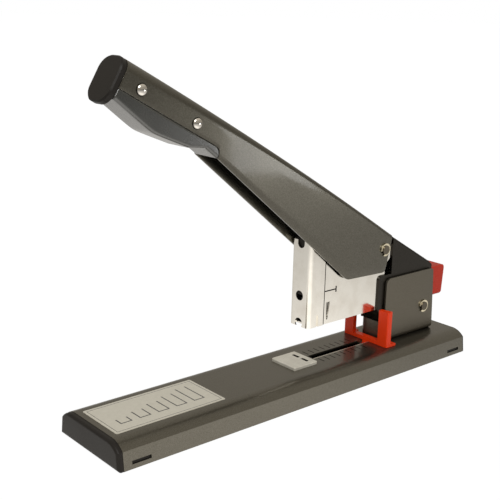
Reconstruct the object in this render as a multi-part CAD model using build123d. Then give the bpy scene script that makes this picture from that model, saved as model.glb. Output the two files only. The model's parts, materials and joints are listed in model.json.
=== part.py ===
from build123d import *
import os
from math import acos, atan2, ceil, cos, hypot, radians, sin, sqrt, tan

# A heavy-duty long-handled desk stapler, in millimetres.
# X runs along the base with the grip end at -X, Z is up, and the origin is on the
# table under the middle of the base. The stapler stands open, as it rests.

# Staple, sheets and fits, which set every width of the arm
staple_width = 13.0          # outside width of the staple crown
staple_side_gap = 0.2        # crown to magazine wall
magazine_sheet = 1.1
front_sheet = 0.8            # nickelled channel round the driver
housing_sheet = 1.2
bracket_sheet = 1.4
handle_sheet = 1.3
side_clearance = 0.4         # housing to bracket and housing to handle
running_fit = 0.05           # radial play of a pin in its hole
loose_fit = 0.15             # play of a moulded or slid-in piece
overcut = 1.0                # how far a cut passes the face that it starts from

# Base
base_length = 290.0
base_width = 60.6
base_height = 15.8           # table to the flat top
base_sheet = 1.2
crease_height = 11.3         # table to the crease in the side wall
side_lean = 1.35             # inward lean of the side wall below the crease
shoulder_run = 10.0          # crease to flat top, measured across
edge_lift = 0.6              # lower edge of the sheet above the table
pad_thickness = 2.0
pad_corner = 3.0
front_nose = 3.4             # end cap beyond the sheet
rear_nose = 1.4
front_round = 1.8            # rounded edge of the end cap
rear_round = 0.7
nose_inset = 0.2             # end cap inside the sheet's outside
cap_wall = 1.6
cap_plug = 6.0               # end cap inside the sheet
latch_setback = 5.2          # end of the sheet to the latch slot
latch_length = 12.2
latch_height = 2.0
latch_level = 4.1            # middle of the latch slot above the table
latch_inset = 0.9            # latch hook behind the sheet's outside

# Label, anvil and guide slot on the base top
label_length = 74.0
label_width = 35.0
label_thickness = 0.25
label_corner = 1.0
label_setback = 7.0          # front end of the base to the label
anvil_length = 20.2
anvil_width = 21.8
anvil_thickness = 1.9
anvil_corner = 1.2
anvil_bevel = 0.4
anvil_lead = 5.2             # strike line to the rear edge of the anvil
anvil_lug = 4.0
anvil_lug_drop = 1.2         # lug below the base sheet
groove_width = 2.2
groove_depth = 1.0
groove_inner = 1.0           # middle of the anvil to the inner end of a groove
groove_outer = 0.6           # staple leg to the outer end of a groove
guide_slot_width = 5.4

# Bracket on the base, and the pins
bracket_setback = 14.3       # rear end of the base to the bracket
bracket_length = 51.4
bracket_height = 45.0
bracket_lean = 2.6           # rear edge forwards at its top
bracket_bend = 3.5
bracket_fold = 4.0           # upright bend between the web and a cheek
bracket_front_corner = 4.2
bracket_rear_corner = 3.0
bracket_web = 13.4           # height of the low front web
pin_diameter = 6.0
pin_head = 9.0
pin_head_thickness = 1.5
pin_groove = 4.5             # diameter inside the clip groove
pin_tail = 0.6               # pin beyond the clip
clip_thickness = 0.8
clip_diameter = 8.6
clip_rim = 1.3
clip_lug = 1.8
clip_mouth = 3.8
rivet_diameter = 4.0
rivet_head = 6.6
rivet_head_thickness = 1.8

# Arm: magazine, driver channel and rear housing
arm_pivot_setback = 11.3     # rear edge of the bracket to the arm pivot
arm_pivot_lift = 18.8        # base top to the arm pivot
arm_reach = 110.7            # arm pivot to the front of the driver channel
throat_height = 24.2         # base top to the underside of the magazine
channel_height = 56.0
channel_depth = 13.3
channel_corner = 3.0
channel_bore = 6.4
channel_bore_level = 20.2    # underside of the magazine to the middle of the bore
channel_foot_level = 2.2     # underside of the magazine to the middle of the foot notch
side_notch_lead = 8.0        # front of the channel to the notch in its sides
side_notch_width = 1.6
side_notch_height = 7.8
flange_height = 51.0         # top of the channel's side flange at its front
flange_fall = 0.89           # fall of that top per length
flange_lap = 0.4             # flange top ahead of the magazine wall
side_wall_height = 30.5      # magazine wall behind the driver channel
wall_round = 3.0
tee_level = 22.0             # underside of the magazine to the T-shaped latch slot
tee_reach = 12.0             # rear of the channel to the end of that slot
tee_stem = 0.8
tee_bar = 1.1
tee_bar_height = 4.0
taper_lead = 3.6             # rear of the channel to the tapered slot
taper_low = 2.8              # underside of the magazine to its narrow end
taper_high = 14.5
taper_narrow = 1.0
taper_wide = 3.7
handle_pivot_lead = 44.3     # arm pivot to handle pivot, along X
handle_pivot_lift = 47.5     # arm pivot to handle pivot, along Z
ear_radius = 9.0             # magazine wall round the handle pivot
ear_lobe = 11.7              # the same, behind and below the pivot
ear_lobe_top = 1.7           # handle pivot to the top of that lobe
ear_neck = 4.4               # handle pivot to the wall's rear edge under the ear
ear_foot = 21.6              # handle pivot to the foot of its ear, along X
ear_foot_round = 6.0
housing_lead = 46.2          # arm pivot to the front edge of the housing
housing_step = 34.1          # arm pivot to the front edge of its upper part
housing_peak = 6.8           # handle pivot to the top of that edge
housing_tail = 8.6           # arm pivot to the rear edge of the housing
housing_low = 24.9           # height of the housing's lower front part
housing_drop = 1.6           # housing below the underside of the magazine
housing_bevel = 2.8          # cut-off upper rear corner
housing_bend = 1.6
housing_front_corner = 3.0
housing_foot_corner = 2.0
pivot_eye = 4.4              # housing round the pivot pin
rear_wall_height = 21.5      # magazine wall inside the housing
magazine_setback = 4.0       # rear edge of the housing to the magazine
rail_gap = 1.2               # staple crown's outside to the rail, each side
rail_height = 15.9
rail_sheet = 1.0
rail_slot = 4.4
rail_setback = 3.0           # rear end of the magazine to the rail
rail_bridge = 3.0            # closed front of the rail's slot
rail_bend = 1.2
spacer_wall = 1.2
washer_diameter = 13.0

# Handle, drawn along its own slope from the handle pivot
handle_angle = 30.0
handle_reach = 233.8         # pivot to the front end of the sheet
handle_rear = 8.8            # pivot to the lower rear corner
handle_rear_top = 2.4        # pivot to the upper rear corner
handle_rear_depth = 13.1
handle_rear_round = 3.0
handle_top = 11.3            # pivot to the top of the sheet at both ends
handle_crown = 1.8           # extra height of the top half-way
handle_depth = 30.0          # pivot to the lowest corner
handle_low_corner = 24.2     # pivot to that corner, along the slope
handle_low_round = 6.0
handle_stations = 4          # straight stretches of the crowned top
shoulder_chords = 5          # straight chords round a shoulder
shoulder_rear = 2.6
shoulder_front = 7.0
bend_inside = 0.8            # least inside radius of a bend
grip_length = 74.4           # front end of the sheet to the grip's rear end
grip_step = 7.9              # pivot line to the sheet's lower edge where the grip starts
grip_toe = 1.2               # lean of the grip's rear end
grip_toe_round = 5.0
grip_seam_rear = 2.3         # pivot line to the seam at the grip's rear end
grip_seam = 4.3              # pivot line to the seam at the front end
grip_end_depth = 10.4        # pivot line to the underside at the front end
swell_front = 14.3           # front end to where the swell under the grip starts
swell_front_depth = 11.5
swell_rear = 24.6            # rear end of the grip to where the swell ends
swell_rear_depth = 11.0
grip_round = 4.5
grip_inset = 0.2             # grip inside the sheet's outside
grip_core_setback = 7.0      # rear end of the grip to its core inside the sheet
grip_core_top = 6.0
grip_core_round = 2.0
end_cap_length = 3.5
end_cap_width = 20.8
end_cap_rise = 11.5          # pivot line to the top of the cap
end_cap_drop = 14.2
end_cap_radius = 8.0
end_cap_bevel = 0.8
end_plug_length = 10.0
stud_diameter = 6.0
stud_height = 1.7
stud_shank = 4.0
stud_front = 12.3            # front end of the sheet to the first stud
stud_pitch = 39.7
stud_level = 1.2             # pivot line to the first stud
stud_rise = 1.1              # second stud above the first

# Drive from the handle to the blade
arm_swing = 11.5             # degrees from rest until the magazine meets the anvil
handle_swing = 18.0          # degrees of the handle on the arm
drive_lead = 4.4             # blade to the drive pin at rest, along X
drive_lift = 2.8             # pivot line to the drive pin
drive_pin_diameter = 5.0
drive_pin_end = 0.8          # pin beyond the yoke
drive_slot_play = 0.5        # the opened pivot: play of the drive pin in its slot
drive_slot_end = 0.4         # extra room at each end of that slot
drive_head_width = 5.2
drive_head_wall = 2.6        # below the slot
drive_head_rim = 1.6         # beyond the slot's ends
drive_head_top = 1.2         # above the slot
drive_head_seat = 2.0        # blade inside the head
drive_head_round = 3.0
notch_gap = 0.4              # drive head to the notch that it dips into
yoke_sheet = 2.0
yoke_gap = 0.7               # drive head to yoke
yoke_ring = 4.0              # radius of the yoke round the pin
blade_thickness = 1.2
blade_gap = 0.1
blade_rise = 1.0             # wide part of the blade above the channel

# Staple pusher
rod_diameter = 4.0
rod_level = 9.5              # underside of the magazine to the rod
rod_lead = 9.0               # front of the channel to the rod
rod_head = 6.4
rod_head_thickness = 1.5
rod_seat = 4.0               # rod inside the knob
follower_lead = 11.0         # front of the channel to the follower
follower_length = 10.0
follower_nose = 4.5          # front of the follower to its neck
saddle_thickness = 2.2
saddle_gap = 0.1             # saddle inside the staple's outside, each side
knob_gap = 0.4               # housing to knob
knob_length = 15.4
knob_slant = 1.5             # how much shorter the knob is at the bottom
knob_height = 21.1
knob_width = 17.0
knob_drop = 0.8              # knob below the underside of the magazine
knob_round = 2.0
knob_bevel = 0.8
knob_plug = 10.4

# Depth guide
guide_width = 39.0
guide_height = 24.7
guide_lead = 6.8             # front of the guide to the front of the bracket
post_inner_depth = 3.1
post_outer_depth = 4.8
guide_bar = 2.6
guide_bar_depth = 4.4
guide_gap = 0.2              # guide to base top
guide_round = 0.8
guide_travel = 52.0
guide_neck = 4.2             # length of the neck in the base slot
guide_foot = 4.5
guide_foot_width = 5.0
guide_foot_height = 1.6
shoe_length = 10.0
shoe_width = 14.0
shoe_thickness = 2.0
shoe_corner = 1.5
screw_head = 5.5
screw_head_thickness = 1.8

# Springs
coil_steps = 10              # straight runs in one turn of a spring
lift_wire = 1.4
lift_radius = 5.0
lift_turns = 5.0
lift_lead = 23.5             # arm pivot to the lift spring
return_wire = 1.6
return_radius = 5.4
return_turns = 3.0
return_pitch = 1.8
return_leg = 34.0            # handle pivot to the end of the upper leg
return_foot = 17.1           # handle pivot to the end of the lower leg
anchor_diameter = 3.0
anchor_lead = 11.3           # handle pivot to the pin under the lower leg
feed_wire = 0.9
feed_radius = 3.0
feed_turns = 12.0

# Widths, from the staple outwards
magazine_inside = staple_width + 2 * staple_side_gap
magazine_width = magazine_inside + 2 * magazine_sheet
channel_width = magazine_width + 2 * front_sheet
housing_width = magazine_width + 2 * housing_sheet
bracket_inside = housing_width + 2 * side_clearance
bracket_width = bracket_inside + 2 * bracket_sheet
handle_inside = housing_width + 2 * side_clearance
handle_width = handle_inside + 2 * handle_sheet
rail_width = staple_width - 2 * rail_gap
rail_core = rail_width / 2 - rail_sheet - loose_fit
yoke_inside = drive_head_width + 2 * yoke_gap
notch_width = drive_head_width + 2 * notch_gap

# How far the channel's rounded corners keep the blade's edges from its front sheet
corner_inside = channel_corner - front_sheet
corner_lap = max(staple_width / 2 - magazine_width / 2 + corner_inside, 0)
corner_bite = corner_inside - sqrt(corner_inside**2 - corner_lap**2)

# Places in the frame
base_front = -base_length / 2
base_rear = base_length / 2
sheet_front = base_front + front_nose
sheet_rear = base_rear - rear_nose
sheet_middle = (sheet_front + sheet_rear) / 2
bracket_rear = base_rear - bracket_setback
bracket_front = bracket_rear - bracket_length
bracket_floor = base_height + bracket_sheet
arm_x = bracket_rear - arm_pivot_setback
arm_z = base_height + arm_pivot_lift
handle_x = arm_x - handle_pivot_lead
handle_z = arm_z + handle_pivot_lift
magazine_z = base_height + throat_height
channel_x = arm_x - arm_reach
channel_rear = channel_x + channel_depth
channel_top = magazine_z + channel_height
blade_x = channel_x + front_sheet + corner_bite + blade_gap
magazine_x = max(blade_x + blade_thickness, channel_x + channel_corner) + 2 * blade_gap
housing_rear = arm_x + housing_tail
housing_front = arm_x - housing_lead
housing_step_x = arm_x - housing_step
housing_z = magazine_z - housing_drop
magazine_rear = housing_rear - magazine_setback
rail_front = magazine_x + 2 * loose_fit
rail_rear = magazine_rear - rail_setback
rail_low = magazine_z + magazine_sheet
rail_top = rail_low + rail_height
rod_z = magazine_z + rod_level
follower_front = channel_x + follower_lead
follower_rear = follower_front + follower_length
knob_front = housing_rear + knob_gap
guide_x = bracket_front - guide_lead
guide_mid = guide_x + guide_bar_depth / 2
shoe_top = base_height - base_sheet - guide_gap
anchor_x = handle_x - anchor_lead
anchor_z = handle_z - return_radius - return_wire / 2 - anchor_diameter / 2
grip_start = handle_reach - grip_length
stud_first = handle_reach - stud_front
stud_places = [(stud_first, stud_level), (stud_first - stud_pitch, stud_level + stud_rise)]

# The handle's slope: its plane has local X up the handle and local Y out of its top.
slope = radians(handle_angle)
handle_plane = Plane(
    origin=(handle_x, 0, handle_z), x_dir=(-cos(slope), 0, sin(slope)), z_dir=(0, 1, 0)
)


def turned(x, z, pivot_x, pivot_z, degrees_down):
    """Where a point in X and Z goes when the front swings down about a pivot."""
    turn = radians(degrees_down)
    dx = x - pivot_x
    dz = z - pivot_z
    return pivot_x + dx * cos(turn) - dz * sin(turn), pivot_z + dx * sin(turn) + dz * cos(turn)


def from_slope(along, across):
    """X and Z of a point given along and across the handle's slope."""
    return (
        handle_x - along * cos(slope) + across * sin(slope),
        handle_z + along * sin(slope) + across * cos(slope),
    )


# The blade's lower edge meets the anvil at the strike line.
strike_x, _ = turned(blade_x + blade_thickness / 2, magazine_z, arm_x, arm_z, arm_swing)
anvil_middle = strike_x + anvil_lead - anvil_length / 2

# The drive pin starts behind the blade and ends as far in front of it.
drive_x = blade_x + blade_thickness / 2 + drive_lead
drive_along = (handle_x - drive_x + drive_lift * sin(slope)) / cos(slope)
drive_z = from_slope(drive_along, drive_lift)[1]
drive_end_x, drive_end_z = turned(drive_x, drive_z, handle_x, handle_z, handle_swing)
drive_stroke = drive_z - drive_end_z
drive_head_low = drive_z - drive_pin_diameter / 2 - drive_slot_play - drive_head_wall


def outline(*corners):
    """Closed face through (x, z, radius) corners, each rounded by its own radius."""
    face = Sketch() + make_face(Polyline([(x, z) for x, z, _ in corners], close=True))
    for x, z, radius in corners:
        if radius > 0:
            corner = face.vertices().sort_by_distance((x, z, 0))[0]
            face = fillet(corner, radius)
    return face


def slab(profile, low, high):
    """Solid between two Y planes from a profile drawn in X and Z."""
    plane = Plane((0, low, 0), x_dir=(1, 0, 0), z_dir=(0, -1, 0))
    return extrude(plane * profile, amount=high - low, dir=(0, 1, 0))


def slope_slab(profile, low, high):
    """Solid between two Y planes from a profile drawn along the handle's slope."""
    return extrude(handle_plane.offset(low) * profile, amount=high - low, dir=(0, 1, 0))


def slope_section(along):
    """Plane across the handle, with local X to the near side and local Y out of its top."""
    x, z = from_slope(along, 0)
    return Plane((x, 0, z), x_dir=(0, -1, 0), z_dir=(-cos(slope), 0, sin(slope)))


def both_sides(solid):
    return solid + mirror(solid, about=Plane.XZ)


def block(x_low, x_high, y_low, y_high, z_low, z_high):
    size = (x_high - x_low, y_high - y_low, z_high - z_low)
    middle = ((x_low + x_high) / 2, (y_low + y_high) / 2, (z_low + z_high) / 2)
    return Pos(*middle) * Box(*size)


def cross_rod(x, z, diameter, low, high):
    """Round bar along Y."""
    return slab(Pos(x, z) * Circle(diameter / 2), low, high)


def upright(x, y, diameter, low, high):
    """Round bar along Z."""
    return Pos(x, y, (low + high) / 2) * Cylinder(diameter / 2, high - low)


def long_rod(diameter, low, high):
    """Round bar along X at the height of the pusher rod."""
    return Pos((low + high) / 2, 0, rod_z) * Rot(0, 90, 0) * Cylinder(diameter / 2, high - low)


def coil(radius, wire, turns, length, legs=(0, 0)):
    """Six-sided spring wire wound along Z in straight runs, with a tangent leg at each end."""
    steps = ceil(coil_steps * turns)
    rise = length / (radians(360) * turns * radius)
    points = []
    for step in range(steps + 1):
        turn = radians(360) * turns * step / steps
        points.append(Vector(radius * cos(turn), radius * sin(turn), length * step / steps))
    if legs[0] > 0:
        points.insert(0, points[0] - Vector(0, 1, rise).normalized() * legs[0])
    if legs[1] > 0:
        points.append(points[-1] + Vector(-sin(turn), cos(turn), rise).normalized() * legs[1])
    first = points[1] - points[0]
    start = Plane(points[0], x_dir=(first.Y, -first.X, 0), z_dir=first)
    section = start * RegularPolygon(wire / 2, 6, rotation=30)
    return sweep(section, path=Polyline(*points), transition=Transition.RIGHT)


def base_section(inset, floor):
    """Cross-section of the base, in Y and Z, moved inwards by an inset."""
    flat = base_width / 2 - side_lean - shoulder_run
    drop = base_height - crease_height
    radius = (shoulder_run**2 + drop**2) / (2 * drop)
    crease_y = flat + shoulder_run * (radius - inset) / radius
    crease_z = base_height - radius + (radius - drop) * (radius - inset) / radius
    top = base_height - inset
    low = base_width / 2 - inset
    foot = low - (low - crease_y) * floor / crease_z
    half = [
        Polyline((0, top), (0, floor), (foot, floor), (crease_y, crease_z)),
        TangentArc((flat, top), (crease_y, crease_z), tangent=(1, 0)),
        Line((flat, top), (0, top)),
    ]
    right = make_face(half)
    return Sketch() + right + mirror(right, about=Plane.YZ)


def base_prism(inset, floor, x_one, x_other):
    low, high = sorted((x_one, x_other))
    return extrude(Plane.YZ.offset(low) * base_section(inset, floor), amount=high - low)


def latch_slot(edge, direction, margin):
    """Bar through both latch slots near a sheet edge, smaller by a margin on every side."""
    middle = edge - direction * (latch_setback + latch_length / 2)
    length = latch_length - 2 * margin
    height = latch_height - 2 * margin
    return Pos(middle, 0, latch_level) * Box(length, 2 * base_width, height)


def rivet_places():
    """Middle of each bracket rivet, in X and Y."""
    inset = bracket_bend + rivet_diameter
    across = bracket_inside / 2 - bracket_bend / 2 - rivet_diameter
    return [(x, side * across) for x in (bracket_front + inset, bracket_rear - inset) for side in (-1, 1)]


def anvil_lugs(margin):
    """Lugs of the anvil through the base top, larger by a margin on every side."""
    low = base_height - base_sheet - anvil_lug_drop
    across = anvil_width / 2 - anvil_lug
    half = anvil_lug / 2 + margin
    return [
        block(anvil_middle - half, anvil_middle + half, y - half, y + half, low, base_height)
        for y in (-across, across)
    ]


def make_base_shell():
    top = base_height
    under = top - base_sheet - overcut
    shell = base_prism(0, edge_lift, sheet_front, sheet_rear)
    shell -= base_prism(base_sheet, 0, sheet_front - overcut, sheet_rear + overcut)
    shell -= latch_slot(sheet_front, -1, 0)
    shell -= latch_slot(sheet_rear, 1, 0)
    half = guide_slot_width / 2
    slot_front = guide_mid - guide_travel - guide_neck / 2 - loose_fit
    shell -= block(slot_front, bracket_front, -half, half, under, top + overcut)
    for hole in anvil_lugs(loose_fit):
        shell -= hole
    for x, y in rivet_places():
        shell -= upright(x, y, rivet_diameter, under, top + overcut)
    return shell


def make_end_cap(edge, nose, rounding, direction):
    """End cap at a sheet edge; direction is -1 at the front and 1 at the rear."""
    cap = base_prism(nose_inset, edge_lift, edge, edge + direction * nose)
    face = cap.faces().sort_by(Axis.X)[0 if direction < 0 else -1]
    cap = fillet(face.edges(), rounding)
    fit = base_sheet + loose_fit
    inside = fit + cap_wall
    plug_end = edge - direction * cap_plug
    cap += base_prism(fit, pad_thickness, edge, plug_end)
    cap -= base_prism(inside, pad_thickness + cap_wall, edge, plug_end - direction * overcut)
    # Two spring arms run along the side walls, and a hook on each fills its latch slot.
    arm_end = edge - direction * (latch_setback + latch_length)
    ring = base_prism(fit, pad_thickness, edge, arm_end)
    ring -= base_prism(inside, 0, edge + overcut, arm_end - overcut)
    ring -= base_prism(inside, 0, edge - overcut, arm_end + overcut)
    middle = (edge + arm_end) / 2
    band = Pos(middle, 0, latch_level) * Box(2 * base_length, 2 * base_width, 2 * latch_height)
    hook = base_prism(latch_inset, 0, edge, arm_end) & latch_slot(edge, direction, loose_fit)
    return cap + (ring & band) + (hook - base_prism(inside, 0, edge, arm_end))


def make_base_pad():
    length = sheet_rear - sheet_front - 2 * loose_fit
    width = base_width - 2 * (base_sheet + side_lean)
    pad = extrude(RectangleRounded(length, width, pad_corner), amount=pad_thickness)
    return Pos(sheet_middle, 0, 0) * pad


def make_label_plate():
    label = extrude(RectangleRounded(label_length, label_width, label_corner), amount=label_thickness)
    return Pos(base_front + label_setback + label_length / 2, 0, base_height) * label


def make_anvil_plate():
    plate = extrude(RectangleRounded(anvil_length, anvil_width, anvil_corner), amount=anvil_thickness)
    plate = chamfer(plate.faces().sort_by(Axis.Z)[-1].edges(), anvil_bevel)
    plate = Pos(anvil_middle, 0, base_height) * plate
    for lug in anvil_lugs(0):
        plate += lug
    # Each groove is a round trough that turns one staple leg inwards.
    chord = staple_width / 2 + groove_outer - groove_inner
    radius = ((chord / 2) ** 2 + groove_depth**2) / (2 * groove_depth)
    trough_z = base_height + anvil_thickness - groove_depth + radius
    for side in (-1, 1):
        y = side * (groove_inner + chord / 2)
        plate -= Pos(strike_x, y, trough_z) * Rot(0, 90, 0) * Cylinder(radius, groove_width)
    return plate


def bracket_form(inset):
    """Solid of the folded bracket up to the top of its cheeks, moved inwards by an inset."""
    width = bracket_width - 2 * inset
    long = 2 * (bracket_length - inset)
    tall = 2 * (bracket_height - inset)
    front = bracket_front + inset
    top = base_height + bracket_height
    section = Pos(0, top) * RectangleRounded(width, tall, bracket_bend - inset)
    form = extrude(Plane.YZ.offset(bracket_front - overcut) * section, amount=bracket_length + 2 * overcut)
    plan = Pos(front + long / 2, 0) * RectangleRounded(long, width, bracket_fold - inset)
    low = extrude(plan, amount=base_height + bracket_web)
    return (form & low) + (form & block(front, bracket_rear, -width, width, base_height + bracket_web, top))


def make_bracket():
    """Folded channel: floor on the base, two cheeks and a low front web."""
    half = bracket_width / 2
    floor = base_height
    top = floor + bracket_height
    cheek = outline(
        (bracket_front, floor - overcut, 0),
        (bracket_front, top, bracket_front_corner),
        (bracket_rear - bracket_lean, top, bracket_rear_corner),
        (bracket_rear, floor, 0),
        (bracket_rear, floor - overcut, 0),
    )
    bracket = bracket_form(0) & slab(cheek, -half, half)
    bracket -= bracket_form(bracket_sheet)
    web_top = floor + bracket_web
    inner = bracket_inside / 2
    bracket -= block(bracket_front - overcut, bracket_rear, -inner, inner, web_top, top + overcut)
    for x, y in rivet_places():
        bracket -= upright(x, y, rivet_diameter, floor - overcut, bracket_floor + overcut)
    return bracket - cross_rod(arm_x, arm_z, pin_diameter, -half - overcut, half + overcut)


def make_bracket_rivets():
    """Rivets with a head on the bracket floor, flush under the base sheet."""
    under = base_height - base_sheet
    rivets = []
    for x, y in rivet_places():
        rivet = upright(x, y, rivet_diameter, under, bracket_floor)
        rivet += upright(x, y, rivet_head, bracket_floor, bracket_floor + rivet_head_thickness)
        rivets.append(rivet)
    return rivets


def make_pin(x, z, width):
    """Headed pin through a width, with a clip groove outside its near end."""
    half = width / 2
    groove = -half - loose_fit
    groove_end = groove - clip_thickness
    pin = cross_rod(x, z, pin_diameter, groove_end - pin_tail, half)
    pin += cross_rod(x, z, pin_head, half, half + pin_head_thickness)
    ring = Circle(pin_head / 2) - Circle(pin_groove / 2)
    return pin - slab(Pos(x, z) * ring, groove_end, groove)


def make_clip(x, z, width, opening):
    """E-clip in the groove of a pin: a ring with three inner lugs, open on one side."""
    outer = clip_diameter / 2
    bore = pin_groove / 2
    ring = Circle(outer) - Circle(outer - clip_rim)
    lug_length = outer - bore - clip_rim / 2
    for angle in (75, 180, 285):
        ring += Rot(0, 0, angle) * Pos(bore + lug_length / 2, 0) * Rectangle(lug_length, clip_lug)
    ring -= Circle(bore)
    ring -= Pos(outer, 0) * Rectangle(2 * outer, clip_mouth)
    groove = -width / 2 - loose_fit
    return slab(Pos(x, z) * Rot(0, 0, opening) * ring, groove - clip_thickness, groove)


def make_lift_spring():
    """Coil that lifts the arm, standing on the bracket floor under the magazine."""
    length = magazine_z - bracket_floor - lift_wire
    place = Pos(arm_x - lift_lead, 0, bracket_floor + lift_wire / 2)
    return place * coil(lift_radius, lift_wire, lift_turns, length)


def roof_height(x):
    """Height of the housing's sloping top at X, in line with the handle's slope."""
    return handle_z + housing_peak - (x - housing_step_x) * tan(slope)


def magazine_wall():
    """Side of the magazine in X and Z, with the ear round the handle pivot."""
    low = magazine_z
    top = low + side_wall_height
    flange = low + flange_height
    flange_run = (flange_height - side_wall_height) / flange_fall
    neck = handle_x + ear_neck
    step = low + rear_wall_height
    wall = outline(
        (magazine_x, low, 0),
        (magazine_x, flange, 0),
        (magazine_x + flange_run, top, wall_round),
        (handle_x - ear_foot, top, ear_foot_round),
        (handle_x - 0.6 * ear_radius, handle_z, 0),
        (neck, handle_z, 0),
        (neck, step, 0),
        (magazine_rear, step, 0),
        (magazine_rear, low, 0),
    )
    wall += Pos(handle_x, handle_z) * Circle(ear_radius)
    quarter = Pos(ear_lobe / 2, ear_lobe_top - ear_lobe / 2) * Rectangle(ear_lobe, ear_lobe)
    wall += Pos(handle_x, handle_z) * (Circle(ear_lobe) & quarter)
    wall -= Pos(handle_x, handle_z) * Circle(pin_diameter / 2)
    return wall - Pos(anchor_x, anchor_z) * Circle(anchor_diameter / 2)


def side_slots():
    """T-shaped latch slot and tapered spring slot beside the driver channel."""
    latch_z = magazine_z + tee_level
    stem_front = channel_rear - side_notch_width
    bar_rear = channel_rear + tee_reach
    stem = Pos((stem_front + bar_rear) / 2, latch_z) * Rectangle(bar_rear - stem_front, tee_stem)
    bar = Pos(bar_rear - tee_bar / 2, latch_z) * Rectangle(tee_bar, tee_bar_height)
    front = channel_rear + taper_lead
    taper = make_face(Polyline(
        (front, magazine_z + taper_low), (front + taper_narrow, magazine_z + taper_low),
        (front + taper_narrow + taper_wide / 2, magazine_z + taper_high),
        (front + taper_narrow - taper_wide / 2, magazine_z + taper_high), close=True,
    ))
    return stem + bar + taper


def make_magazine_body():
    half = magazine_width / 2
    inner = magazine_inside / 2
    body = both_sides(slab(magazine_wall() - side_slots(), inner, half))
    floor_front = magazine_x + magazine_sheet
    return body + block(floor_front, magazine_rear, -inner, inner, magazine_z, rail_low)


def make_front_guide():
    """Nickelled channel that guides the driver blade down to the anvil."""
    half = channel_width / 2
    side = half + overcut
    long = 2 * channel_depth
    plan = RectangleRounded(long, channel_width, channel_corner)
    inside = channel_width - 2 * front_sheet
    plan -= RectangleRounded(long - 2 * front_sheet, inside, channel_corner - front_sheet)
    tube = Pos(channel_x + long / 2, 0, magazine_z) * extrude(plan, amount=channel_height)
    channel = tube & block(channel_x - overcut, channel_rear, -half, half, magazine_z, channel_top)
    corner = magazine_x - flange_lap
    flange = magazine_z + flange_height
    past = channel_rear + overcut
    channel -= slab(make_face(Polyline(
        (corner, channel_top + overcut), (corner, flange),
        (past, flange - flange_fall * (past - corner)), (past, channel_top + overcut), close=True,
    )), -side, side)
    # The drive head dips into the top notch; the bore and the foot notch only lighten the sheet.
    dip = channel_top - drive_end_z + drive_head_wall + drive_pin_diameter / 2 + drive_slot_play
    face = Plane((channel_x - overcut, 0, magazine_z), x_dir=(0, 1, 0), z_dir=(1, 0, 0))
    holes = Pos(0, channel_bore_level) * Circle(channel_bore / 2)
    holes += Pos(0, channel_foot_level) * Circle(channel_bore / 2)
    holes += Pos(0, channel_height) * SlotCenterToCenter(2 * dip, notch_width, rotation=90)
    channel -= extrude(face * holes, amount=front_sheet + 2 * overcut)
    notch = SlotOverall(2 * side_notch_height, side_notch_width, rotation=90)
    return channel - slab(Pos(channel_x + side_notch_lead, magazine_z) * notch, -side, side)


def make_arm_housing():
    """Folded cover over the rear of the magazine, with an eye on each side for the arm pivot."""
    half = housing_width / 2
    low = housing_z
    bevel_x = housing_rear - housing_bevel
    bevel_z = roof_height(bevel_x)
    eye = pin_diameter / 2 + pivot_eye
    shape = outline(
        (housing_front, low, housing_foot_corner),
        (housing_front, low + housing_low, housing_front_corner),
        (housing_step_x, low + housing_low, 0),
        (housing_step_x, roof_height(housing_step_x), 0),
        (bevel_x, bevel_z, 0),
        (housing_rear, bevel_z - housing_bevel, 0),
        (housing_rear, low, 0),
    )
    shape += Pos(arm_x, (arm_z + low) / 2) * Rectangle(2 * eye, low - arm_z + 2 * overcut)
    shape += Pos(arm_x, arm_z) * Circle(eye)
    solid = slab(shape, -half, half)
    roof = Axis((0, 0, 0), (cos(slope), 0, -sin(slope)))
    solid = fillet(solid.edges().filter_by(roof), housing_bend)
    under = housing_sheet / cos(slope)
    front = housing_front - overcut
    rear = housing_rear + overcut
    inner = make_face(Polyline(
        (front, 0), (front, roof_height(front) - under), (bevel_x, bevel_z - under),
        (rear, bevel_z - under - (rear - bevel_x)), (rear, 0), close=True,
    ))
    solid -= slab(inner, -magazine_width / 2, magazine_width / 2)
    bore = pin_diameter + 2 * running_fit
    return solid - cross_rod(arm_x, arm_z, bore, -half - overcut, half + overcut)


def make_spacer(x, z, width, bore):
    """Tube on a pin that keeps the two side sheets apart."""
    ring = Circle(bore / 2 + spacer_wall) - Circle(bore / 2)
    return slab(Pos(x, z) * ring, -width / 2, width / 2)


def make_staple_rail():
    """Folded rail that the staples ride on, slotted for the follower's neck."""
    half = rail_width / 2
    inner = half - rail_sheet
    rail = block(rail_front, rail_rear, -half, half, rail_low, rail_top)
    rail = fillet(rail.edges().filter_by(Axis.X).group_by(Axis.Z)[-1], rail_bend)
    past = rail_rear + overcut
    rail -= block(rail_front - overcut, past, -inner, inner, rail_low - overcut, rail_top - rail_sheet)
    slot = rail_slot / 2
    return rail - block(rail_front + rail_bridge, past, -slot, slot, rail_low, rail_top + overcut)


def make_spring_anchor():
    """Cross pin that the return spring's lower leg presses on."""
    return cross_rod(anchor_x, anchor_z, anchor_diameter, -magazine_width / 2, magazine_width / 2)


def make_handle_washers():
    """Washers that fill the space between the magazine and the handle's sides."""
    ring = Circle(washer_diameter / 2) - Circle(pin_diameter / 2)
    high = handle_inside / 2 - 2 * running_fit
    washer = slab(Pos(handle_x, handle_z) * ring, magazine_width / 2, high)
    return [washer, mirror(washer, about=Plane.XZ)]


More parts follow.
